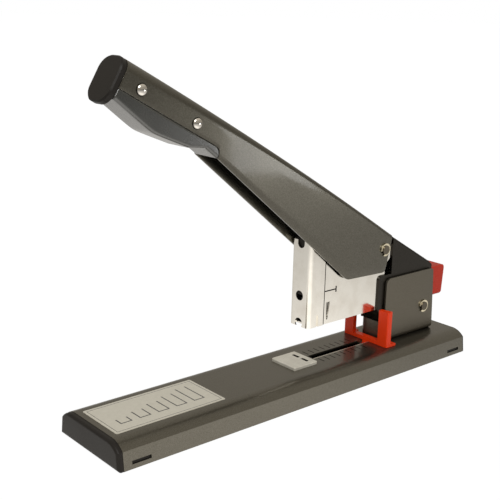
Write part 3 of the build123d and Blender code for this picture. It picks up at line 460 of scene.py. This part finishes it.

# %% [markdown]
# ## Springs
# A spring is a round wire carried along a helix: a circle in the plane across the path, at
# every step of the path. The CAD springs are wound from short straight runs of six-sided wire,
# which is enough for motion; here they are replaced by round wire.


# %% Wire along a path
COIL_STEPS = 28  # places in one turn


def wire(path, radius, axis, columns=10):
    """Tube round a path: circles across the path's direction, closed to a point at both ends."""
    ahead = np.gradient(path, axis=0)
    ahead /= np.linalg.norm(ahead, axis=1, keepdims=True)
    side = np.cross(ahead, axis)
    side /= np.linalg.norm(side, axis=1, keepdims=True)
    up = np.cross(side, ahead)
    around = np.linspace(0, 2 * np.pi, columns, endpoint=False)[None, :, None]
    circle = side[:, None] * np.cos(around) + up[:, None] * np.sin(around)
    tube = path[:, None] + radius * circle
    ends = [np.repeat(path[place][None, None], columns, axis=1) for place in (0, -1)]
    return np.concatenate([ends[0], tube, ends[1]])


def helix(centre, length, radius, turns, axis, steps=COIL_STEPS):
    """Helix about an axis of the frame: radius times cosine and sine, rising steadily."""
    turn = np.linspace(0, 2 * np.pi * turns, int(turns * steps))
    path = np.zeros((len(turn), 3))
    path[:, axis] = np.linspace(-length / 2, length / 2, len(turn))
    path[:, (axis + 1) % 3] = radius * np.cos(turn)
    path[:, (axis + 2) % 3] = radius * np.sin(turn)
    return path + np.array(centre)


def coil_in_box(name, node, wire_radius, turns, axis):
    """Round-wire coil that fills the box of its CAD node."""
    low, high = (np.array(corner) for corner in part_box(node))
    size = high - low
    radius = size[(axis + 1) % 3] / 2 - wire_radius
    length = size[axis] - 2 * wire_radius
    path = helix((low + high) / 2, length, radius, turns, axis)
    piece = piece_from_grids(name, [wire(path, wire_radius, np.eye(3)[axis])])
    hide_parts(node)
    return piece, low, high


# %% Lift spring and feed spring
AXIS_X, AXIS_Z = 0, 2
LIFT_WIRE, LIFT_TURNS, LIFT_KEEP = 0.7 * MM, 5.5, 0.74
FEED_WIRE, FEED_TURNS, FEED_KEEP = 0.45 * MM, 13.0, 0.14

lift, low, _ = coil_in_box("lift_coil", "lift_spring", LIFT_WIRE, LIFT_TURNS, AXIS_Z)
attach(lift, "base")
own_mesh(lift)
feed, _, high = coil_in_box("feed_coil", "pusher_spring", FEED_WIRE, FEED_TURNS, AXIS_X)
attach(feed, "pusher")
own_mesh(feed)

# %% Torsion spring on the handle pin
TORSION_RADIUS, TORSION_WIRE, TORSION_PITCH = 5.4, 0.8, 1.8
TORSION_TURNS = 3
UPPER_LEG = (34.0, 9.9)
LOWER_LEG = 17.1
PIN_AXIS = np.array((0.0, 1.0, 0.0))


def torsion_path(steps=COIL_STEPS):
    """Straight leg, helix about the handle pin, straight leg.

    The upper leg leaves the coil where the line to its end touches the circle; the lower leg
    leaves at the bottom of the circle and runs towards the grip.
    """
    tip = from_slope(*UPPER_LEG, 0.0) / MM
    pivot = np.array(joints["handle_pivot"]["pos_m"]) / MM
    reach = np.hypot(tip[0] - pivot[0], tip[2] - pivot[2])
    start = np.arctan2(tip[2] - pivot[2], tip[0] - pivot[0]) - np.arccos(TORSION_RADIUS / reach)
    sweep = 2 * np.pi * TORSION_TURNS + (start + np.pi / 2) % (2 * np.pi)
    width = TORSION_PITCH * sweep / (2 * np.pi)
    turn = start - np.linspace(0, sweep, int(sweep / (2 * np.pi) * steps))
    ring = TORSION_RADIUS * np.stack([np.cos(turn), np.sin(turn)], axis=1)
    y = np.linspace(-width / 2, width / 2, len(turn))
    coil = np.stack([pivot[0] + ring[:, 0], y, pivot[2] + ring[:, 1]], axis=1)
    first = np.array([tip[0], y[0], tip[2]])
    last = coil[-1] - np.array([LOWER_LEG, 0, 0])
    return np.concatenate([first[None], coil, last[None]]) * MM, width / 2 * MM


torsion_line, half_width = torsion_path()
torsion = piece_from_grids("torsion_coil", [wire(torsion_line, TORSION_WIRE * MM, PIN_AXIS)])
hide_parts("return_spring")
-half_width
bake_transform(torsion)

# %% [markdown]
# ## Sprayed enamel
# Base, handle, bracket and housing are sprayed with a graphite paint: metal flake in a dark
# binder, under a clear film. Flake mirrors its surroundings softly, so the paint is treated as
# a rough dark metal, and the film as a thin coat with a sharper gloss. Close up the film has a
# faint orange peel, and its gloss is cloudy from handling. The base also carries the printed
# scale for the paper stop: plain strokes beside the slot, masked from X and Y. Ink has no
# gloss, so its mask mixes in a dull shader instead of only a darker colour.

# %% Enamel
FLAKE, CLOUD, PEEL = 0.35 * MM, 28 * MM, 1.4 * MM
PEEL_DEPTH = 0.003 * MM
FLAKE_EDGES, CLOUD_SHARE = (0.40, 0.62), 0.12


def enamel(name, dark, light, roughness, **constants):
    """Two tones of flake in a dark coat under a clear film."""
    paint = Finish(name, **constants)
    flake = paint.step(paint.noise(FLAKE, detail=1.0), *FLAKE_EDGES)
    cloud = paint.noise(CLOUD, detail=3.0)
    tone = paint.blend(flake, dark, light)
    paint.surface(
        Base_Color=tone,
        Roughness=roughness + cloud.swing(CLOUD_SHARE),
        Normal=paint.relief(paint.noise(PEEL), PEEL_DEPTH),
    )
    return paint, tone


# %% Scale, pale slot edge and painted stud shade on the enamel
SCALE_FIRST, SCALE_LAST, SCALE_PITCH = 23.0 * MM, 64.0 * MM, 5.0 * MM
SCALE_STROKE = 0.7 * MM
SCALE_NEAR, SCALE_FAR = 4.4 * MM, 10.4 * MM
SLOT_HALF, SLOT_EDGE_BAND, SLOT_FRONT, SLOT_REAR = 2.7 * MM, 0.6 * MM, 20.5 * MM, 73.0 * MM
# INK_AND_SHADE is the black of the printed scale and also of the painted shade round the studs
INK_AND_SHADE = colour(0.012, 0.011, 0.009)
SLOT_EDGE_PALE = colour(0.80, 0.76, 0.66)
STUD_SHADE_RADIUS = 1.12 * STUD_RADIUS * MM


def between(signal, low, high):
    """1 where a signal lies between two values."""
    return (signal > low) * (signal < high)


def print_scale(paint):
    """Dull strokes across the slot's direction, one each pitch, on both sides of the slot."""
    x, y, _ = paint.axes()
    stroke = (x - SCALE_FIRST) % SCALE_PITCH < SCALE_STROKE
    strokes = stroke * between(x, SCALE_FIRST, SCALE_LAST) * between(abs(y), SCALE_NEAR, SCALE_FAR)
    ink = paint.node("ShaderNodeBsdfDiffuse", {}, INK_AND_SHADE)
    film = Signal(paint, paint.shader.outputs[0])
    mixed = paint.node("ShaderNodeMixShader", {}, strokes, film, ink)
    paint.feed(paint.tree.nodes["Material Output"].inputs["Surface"], mixed)


def brighten_slot_edge(paint, tone):
    """Pale steel colour in a band along the near edge of the slot, from X and Y."""
    x, y, _ = paint.axes()
    pale_edge = between(y, -SLOT_HALF - SLOT_EDGE_BAND, 0.0) * between(x, SLOT_FRONT, SLOT_REAR)
    paint.surface(Base_Color=paint.blend(pale_edge, tone, SLOT_EDGE_PALE))


def shade_studs(paint, tone):
    """Painted shade: dark rings round the foot of the studs, from distances to their axes."""
    x, _, z = paint.axes()
    rings = 0.0
    for place in STUD_PLACES:
        stud_x, _, stud_z = from_slope(*place, 0.0)
        across, up = x - float(stud_x), z - float(stud_z)
        rings = rings + (across * across + up * up < STUD_SHADE_RADIUS**2)
    paint.surface(Base_Color=paint.blend(rings, tone, INK_AND_SHADE))


# %% Painted pieces
GLOSS = {"Coat_Weight": 0.40, "Coat_Roughness": 0.08, "Metallic": 0.95}
GRAPHITE_DARK, GRAPHITE_LIGHT = colour(0.104, 0.095, 0.074), colour(0.149, 0.139, 0.113)
base_paint, base_tone = enamel("base_enamel", GRAPHITE_DARK, GRAPHITE_LIGHT, 0.34, **GLOSS)
# a pale band along the near edge of the slot gives the bright line there
brighten_slot_edge(base_paint, base_tone)
print_scale(base_paint)
dress(base_paint, "base_shell")
HANDLE_DARK, HANDLE_LIGHT = colour(0.090, 0.083, 0.065), colour(0.130, 0.122, 0.099)
handle_paint, handle_tone = enamel("handle_enamel", HANDLE_DARK, HANDLE_LIGHT, 0.32, **GLOSS)
# painted shade: dark rings round the studs on the handle paint
shade_studs(handle_paint, handle_tone)
dress(handle_paint, "handle_sheet")
SATIN = {"Coat_Weight": 0.15, "Coat_Roughness": 0.20, "Metallic": 0.90}
BRACKET_DARK, BRACKET_LIGHT = colour(0.110, 0.097, 0.073), colour(0.158, 0.143, 0.112)
bracket_paint, _ = enamel("bracket_enamel", BRACKET_DARK, BRACKET_LIGHT, 0.40, **SATIN)
dress(bracket_paint, "bracket")
# The housing paint is a blacker black than the bracket's, and it is darkened further as painted
# shade where the bracket shadows it; the yoke shares it.
HOUSING_SHADED_DARK, HOUSING_SHADED_LIGHT = colour(0.020, 0.017, 0.013), colour(0.032, 0.028, 0.022)
housing_black_and_shade, _ = enamel("housing_enamel_and_shade", HOUSING_SHADED_DARK, HOUSING_SHADED_LIGHT, 0.38, **SATIN)
dress(housing_black_and_shade, "arm_housing", "drive_yoke")

# %% [markdown]
# ## Nickel, steel and zinc
# The magazine and the driver channel are nickelled and polished, with drawing lines left along
# the sheet; the hidden rods and washers are plain steel, and the clips have the yellow
# passivation of zinc. The driver, its pin and the rail are a near-black steel, as painted shade,
# so that the holes and notches in front of them read dark. One function makes them all: streaks
# of noise drawn out along one axis change the roughness and lift the surface by less than a
# micron, and a slower noise tints the metal, as handling and passivation do. Shade falls where
# two sheets meet and in the grooves that bend the staples, so those places are painted dark as
# painted shade.


# %% Metals
GRAIN, GRAIN_DEPTH, PATCH = 0.12 * MM, 0.0006 * MM, 9 * MM
PATCH_EDGES, PATCH_SHARE = (0.42, 0.75), 0.08
ALONG_X, ALONG_Y, ALONG_Z = (40.0, 1.0, 1.0), (1.0, 40.0, 1.0), (1.0, 1.0, 40.0)
LATHE_MARKS = (1.0, 30.0, 1.0)


def metal(name, bright, dull, roughness, streak=ALONG_X, grain=GRAIN, metallic=1.0):
    """Metal with fine streaks along the stretched axis and slow patches of a duller tint."""
    finish = Finish(name, Metallic=metallic)
    lines = finish.noise(grain, stretch=streak)
    patches = finish.noise(PATCH, detail=3.0)
    finish.surface(
        Base_Color=finish.blend(finish.step(patches, *PATCH_EDGES), bright, dull),
        Roughness=roughness + lines.swing(roughness) + patches.swing(PATCH_SHARE),
        Normal=finish.relief(lines, GRAIN_DEPTH),
    )
    return finish


NICKEL_BRIGHT, NICKEL_DULL = colour(0.87, 0.845, 0.785), colour(0.79, 0.755, 0.69)
nickel = metal("nickel_sheet", NICKEL_BRIGHT, NICKEL_DULL, 0.12)
dress(nickel, "magazine_body")
dress(metal("nickel_channel", NICKEL_BRIGHT, NICKEL_DULL, 0.14, ALONG_Z), "front_guide")

# %% Painted shade in the seam behind the channel and in the grooves of the anvil
SEAM_SHADE_FRONT, SEAM_SHADE_REAR = 21.0 * MM, 23.5 * MM
GROOVE_MARGIN, GROOVE_SHADE_DEPTH = 3.0 * MM, 0.10 * MM
PAINTED_SHADE = colour(0.04, 0.035, 0.028)


def paint_shade(finish, mask):
    """Painted shade: darken a finish where a mask is 1."""
    unshaded = Signal(finish, finish.shader.inputs["Base Color"].links[0].from_socket)
    finish.surface(Base_Color=finish.blend(mask, unshaded, PAINTED_SHADE))


magazine_x, _, _ = nickel.axes()
# painted shade: a dark band in the seam behind the channel
paint_shade(nickel, between(magazine_x, SEAM_SHADE_FRONT, SEAM_SHADE_REAR))
ANVIL_BRIGHT, ANVIL_DULL = colour(0.72, 0.69, 0.60), colour(0.60, 0.57, 0.49)
anvil = metal("anvil_steel", ANVIL_BRIGHT, ANVIL_DULL, 0.36, ALONG_Y, metallic=0.45)
anvil_low, anvil_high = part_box("anvil_plate")
anvil_x, anvil_y, anvil_z = anvil.axes()
inside_x = between(anvil_x, anvil_low.x + GROOVE_MARGIN, anvil_high.x - GROOVE_MARGIN)
inside_y = between(anvil_y, anvil_low.y + GROOVE_MARGIN, anvil_high.y - GROOVE_MARGIN)
# painted shade in the anvil's grooves
paint_shade(anvil, inside_x * inside_y * (anvil_z < anvil_high.z - GROOVE_SHADE_DEPTH))
dress(anvil, "anvil_plate")

# %% Other metals
steel = metal("plain_steel", colour(0.56, 0.55, 0.53), colour(0.42, 0.41, 0.39), 0.30)
dress(steel, "pusher_rod", "staple_follower")
# painted shade: the driver, its pin and the rail are near-black so that the holes and notches in
# front of them read dark
hole_shade_steel = metal("dark_steel_painted_shade", colour(0.040, 0.038, 0.035), colour(0.026, 0.024, 0.022), 0.42)
dress(hole_shade_steel, "driver_blade", "driver_head", "drive_pin", "staple_rail")
cut_edge = metal("cut_edge", colour(0.82, 0.79, 0.72), colour(0.64, 0.61, 0.55), 0.28)
handle.data.materials.append(cut_edge.material)
TURNED_BRIGHT, TURNED_DULL = colour(0.60, 0.59, 0.56), colour(0.45, 0.44, 0.41)
turned = metal("turned_steel", TURNED_BRIGHT, TURNED_DULL, 0.26, LATHE_MARKS)
dress(turned, "pivot_spacer", "handle_spacer", "handle_washers", "spring_anchor")
ZINC_BRIGHT, ZINC_DULL = colour(0.86, 0.78, 0.58), colour(0.70, 0.63, 0.47)
zinc = metal("yellow_zinc", ZINC_BRIGHT, ZINC_DULL, 0.26, grain=0.4 * MM)
dress(zinc, "pivot_clip", "handle_pin_clip", "bracket_rivets", "guide_screw", "guide_shoe")
PIN_BRIGHT, PIN_DULL = colour(0.15, 0.13, 0.10), colour(0.10, 0.09, 0.07)
dull_zinc = metal("dull_zinc", PIN_BRIGHT, PIN_DULL, 0.34, LATHE_MARKS)
dress(dull_zinc, "pivot_pin", "handle_pin")
CHROME_BRIGHT, CHROME_DULL = colour(0.72, 0.69, 0.64), colour(0.60, 0.56, 0.51)
chrome = metal("stud_chrome", CHROME_BRIGHT, CHROME_DULL, 0.06, grain=0.5 * MM)
dress(chrome, "stud_domes")
spring_wire = metal("spring_wire", colour(0.34, 0.33, 0.31), colour(0.20, 0.19, 0.18), 0.32)
dress(spring_wire, "lift_coil", "feed_coil", "torsion_coil")

# %% [markdown]
# ## Moulded plastics and rubber
# The end caps and the grip are black mouldings with the fine spark-eroded texture of their
# tools; the paper stop and the knob are red, a little glossier. A cellular noise gives that
# texture as relief, and slow clouds in the roughness stand for fingermarks.


# %% Mouldings
FINGER_CLOUD, FINGER_SHARE, PIT_SHARE = 16 * MM, 0.14, 0.08


def moulding(name, tone, shade, roughness, texture, depth, **constants):
    """Plastic with an eroded texture, a slow change of tint and cloudy gloss."""
    finish = Finish(name, **constants)
    cloud = finish.noise(FINGER_CLOUD, detail=3.0)
    pits = finish.noise(texture, detail=3.0)
    finish.surface(
        Base_Color=finish.blend(cloud, tone, shade),
        Roughness=roughness + cloud.swing(FINGER_SHARE) + pits.swing(PIT_SHARE),
        Normal=finish.relief(pits, depth),
    )
    return finish


CAP_SHEEN = {"Specular_IOR_Level": 0.15}
CAP_BLACK, CAP_SHADE = colour(0.014, 0.012, 0.010), colour(0.020, 0.017, 0.014)
cap = moulding("cap_plastic", CAP_BLACK, CAP_SHADE, 0.40, 0.45 * MM, 0.012 * MM, **CAP_SHEEN)
dress(cap, "front_end_cap", "rear_end_cap", "handle_end_cap")
GRIP_SHEEN = {"Coat_Weight": 1.0, "Coat_Roughness": 0.14, "Coat_IOR": 1.7}
GRIP_BLACK, GRIP_SHADE = colour(0.020, 0.020, 0.016), colour(0.028, 0.028, 0.023)
grip = moulding("grip_plastic", GRIP_BLACK, GRIP_SHADE, 0.27, 0.5 * MM, 0.008 * MM, **GRIP_SHEEN)
dress(grip, "grip_hold")
STOP_SHEEN = {"Specular_IOR_Level": 0.25}
STOP_RED, STOP_SHADE = colour(0.74, 0.040, 0.003), colour(0.66, 0.034, 0.003)
stop_red = moulding("stop_plastic", STOP_RED, STOP_SHADE, 0.32, 0.6 * MM, 0.006 * MM, **STOP_SHEEN)
dress(stop_red, "depth_guide")
KNOB_SHEEN = {"Specular_IOR_Level": 0.2}
KNOB_RED, KNOB_SHADE = colour(0.47, 0.026, 0.009), colour(0.39, 0.021, 0.007)
knob_red = moulding("knob_plastic", KNOB_RED, KNOB_SHADE, 0.36, 0.6 * MM, 0.008 * MM, **KNOB_SHEEN)
dress(knob_red, "pusher_knob")
PAD_BLACK, PAD_SHADE = colour(0.016, 0.016, 0.016), colour(0.024, 0.024, 0.024)
pad = moulding("pad_rubber", PAD_BLACK, PAD_SHADE, 0.75, 0.8 * MM, 0.05 * MM)
dress(pad, "base_pad")

# %% [markdown]
# ## The label
# A silver-grey film is stuck to the base near the grip end. A ruled border and a row of staple
# outlines of growing leg length are the plain way such a label shows what fits. Each outline is
# a mask: a crown line and two legs, worked out from X and Y.

# %% Label film
film = Finish("label_film", Coat_Weight=0.2, Coat_Roughness=0.25)
label_low, label_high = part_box("label_plate")
FILM_INK = colour(0.05, 0.05, 0.05)
FIBRE, FILM_PEEL, FILM_PEEL_DEPTH = 2.5 * MM, 0.9 * MM, 0.003 * MM
FILM_ROUGHNESS, FIBRE_SHARE = 0.42, 0.2
FILM_PALE, FILM_GREY = colour(0.59, 0.55, 0.45), colour(0.51, 0.475, 0.385)
BORDER_INSET, BORDER_LINE = 1.6 * MM, 0.35 * MM
STAPLE_COUNT, STAPLE_PITCH, STAPLE_SPAN, STAPLE_LINE = 5, 12.4 * MM, 7.6 * MM, 0.8 * MM
STAPLE_LEGS, STAPLE_GROWTH = 6.0 * MM, 3.4 * MM


def print_label(film):
    """Border and staples from distances to the label's middle; legs grow from staple to staple."""
    x, y, _ = film.axes()
    middle = (label_low + label_high) / 2
    half = (label_high - label_low) / 2
    across, down = x - middle.x, y - middle.y
    rim_x, rim_y = half.x - BORDER_INSET - abs(across), half.y - BORDER_INSET - abs(down)
    rim = rim_x.math("MINIMUM", rim_x, rim_y)
    border = between(rim, 0.0, BORDER_LINE)
    start = across + STAPLE_COUNT * STAPLE_PITCH / 2
    number = start.math("FLOOR", start / STAPLE_PITCH)
    offset = abs(start % STAPLE_PITCH - STAPLE_PITCH / 2)
    leg = number * STAPLE_GROWTH + STAPLE_LEGS
    line = -half.y / 2
    crown = between(down, line, line + STAPLE_LINE) * (offset < STAPLE_SPAN / 2)
    at_leg = between(offset, STAPLE_SPAN / 2 - STAPLE_LINE, STAPLE_SPAN / 2)
    legs = between(down, line, leg + line) * at_leg
    row = between(start, 0.0, STAPLE_COUNT * STAPLE_PITCH)
    return border + (crown + legs > 0.5) * row


ink = print_label(film)
fibre = film.noise(FIBRE, detail=3.0)
film_tone = film.blend(fibre, FILM_PALE, FILM_GREY)
film.surface(
    Base_Color=film.blend(ink, film_tone, FILM_INK),
    Roughness=FILM_ROUGHNESS + fibre.swing(FIBRE_SHARE),
    Normal=film.relief(film.noise(FILM_PEEL), FILM_PEEL_DEPTH),
)
dress(film, "label_plate")

# %% [markdown]
# ## Studio
# The photograph is a cut-out on white, so the stage is one white floor under an even sky, and
# both are pure white to the camera. Glossy paint and nickel also mirror the studio, and in a
# real studio only the table near the object is brightly lit: what a mirror sees is a pool of
# light that fades with distance, under a dimmer ceiling. One large lamp stands high at the
# front left, and a small low card at the front right draws the pale patch on the handle.

# %% Floor
FLOOR_HALF, FLOOR_DROP = 14.0, 0.2 * MM
FLOOR_WHITE, FLOOR_SEEN = 0.94, colour(1.04, 1.04, 1.04)
FLOOR_TONE, FLOOR_ROUGHNESS = colour(0.8, 0.8, 0.8), 0.9
POOL_CENTRE, POOL_RANGE, POOL_LIGHT = (-0.08, -0.15, 0.0), 2.0, 1.35
POOL_TINT = (1.0, 0.965, 0.91)
POOL = [(0.05, 1.0), (0.11, 0.66), (0.16, 0.52), (0.25, 0.44), (0.40, 0.37), (0.85, 0.11)]


def rays(finish, *kinds):
    """1 for rays of the named kinds, 0 for every other ray."""
    path = finish.node("ShaderNodeLightPath", {}).socket.node.outputs
    total = sum(Signal(finish, path[f"Is {kind} Ray"]) for kind in kinds)
    return total.math("MINIMUM", total, 1.0)


floor_x, floor_y = np.meshgrid(*[np.linspace(-FLOOR_HALF, FLOOR_HALF, 3)] * 2)
floor_points = np.stack([floor_x, floor_y, np.full_like(floor_x, -FLOOR_DROP)], axis=-1)
floor = piece_from_grids("studio_floor", [floor_points], closed=False)
table = Finish("floor_white", Base_Color=FLOOR_TONE, Roughness=FLOOR_ROUGHNESS)
measure = {"operation": "DISTANCE"}
distance = table.node("ShaderNodeVectorMath", measure, table.place, POOL_CENTRE, output="Value")
level = table.node("ShaderNodeValToRGB", {"stops": POOL}, distance / POOL_RANGE) * POOL_LIGHT
pool = table.node("ShaderNodeVectorMath", {"operation": "MULTIPLY"}, level, POOL_TINT)
seen = table.blend(rays(table, "Glossy"), FLOOR_SEEN, pool)
glow = table.node("ShaderNodeEmission", {}, seen, 1.0)
glow_share = rays(table, "Camera", "Glossy", "Transmission") * FLOOR_WHITE
diffuse = Signal(table, table.shader.outputs[0])
mixed = table.node("ShaderNodeMixShader", {}, glow_share, diffuse, glow)
table.feed(table.tree.nodes["Material Output"].inputs["Surface"], mixed)
dress(table, "studio_floor")

# %% Sky
SKY_LIGHT, WHITE = colour(0.55, 0.55, 0.55), colour(1.0, 1.0, 1.0)
SKY_LOW, SKY_HIGH = colour(0.38, 0.352, 0.305), colour(0.58, 0.54, 0.47)
SKY_RISE = (0.28, 0.50)


class Sky(Finish):
    """The world's node tree, built with the same methods as a finish."""

    def __init__(self, world):
        world.use_nodes = True
        self.tree = world.node_tree
        self.place = self.node("ShaderNodeTexCoord", {}, output="Object")


world = bpy.data.worlds.new("studio_sky")
bpy.context.scene.world = world
sky = Sky(world)
_, _, climb = sky.axes()
mirrored = sky.blend(sky.step(climb, *SKY_RISE), SKY_LOW, SKY_HIGH)
indirect = sky.blend(rays(sky, "Glossy"), SKY_LIGHT, mirrored)
shown = sky.blend(rays(sky, "Camera", "Transmission"), indirect, WHITE)
sky.feed(world.node_tree.nodes["Background"].inputs["Color"], shown)
print("sky nodes:", len(world.node_tree.nodes))


# %% Lamps
def lamp(name, place, target, size, power):
    """Area lamp of a width and a height at a place, facing a target, all in metres."""
    data = bpy.data.lights.new(name, "AREA")
    data.shape = "RECTANGLE"
    data.size, data.size_y = size
    data.energy = power
    light = bpy.data.objects.new(name, data)
    facing = (Vector(target) - Vector(place)).to_track_quat("-Z", "Y")
    light.matrix_world = Matrix.Translation(place) @ facing.to_matrix().to_4x4()
    bpy.context.scene.collection.objects.link(light)


lamp("key_lamp", place=(-0.7, -0.9, 1.3), target=(0.0, 0.0, 0.08), size=(0.8, 0.8), power=14.0)
CARD_PLACE, CARD_TARGET = (0.50, -0.578, 0.055), (-0.02, -0.011, 0.145)
lamp("cheek_card", place=CARD_PLACE, target=CARD_TARGET, size=(0.14, 0.10), power=0.28)
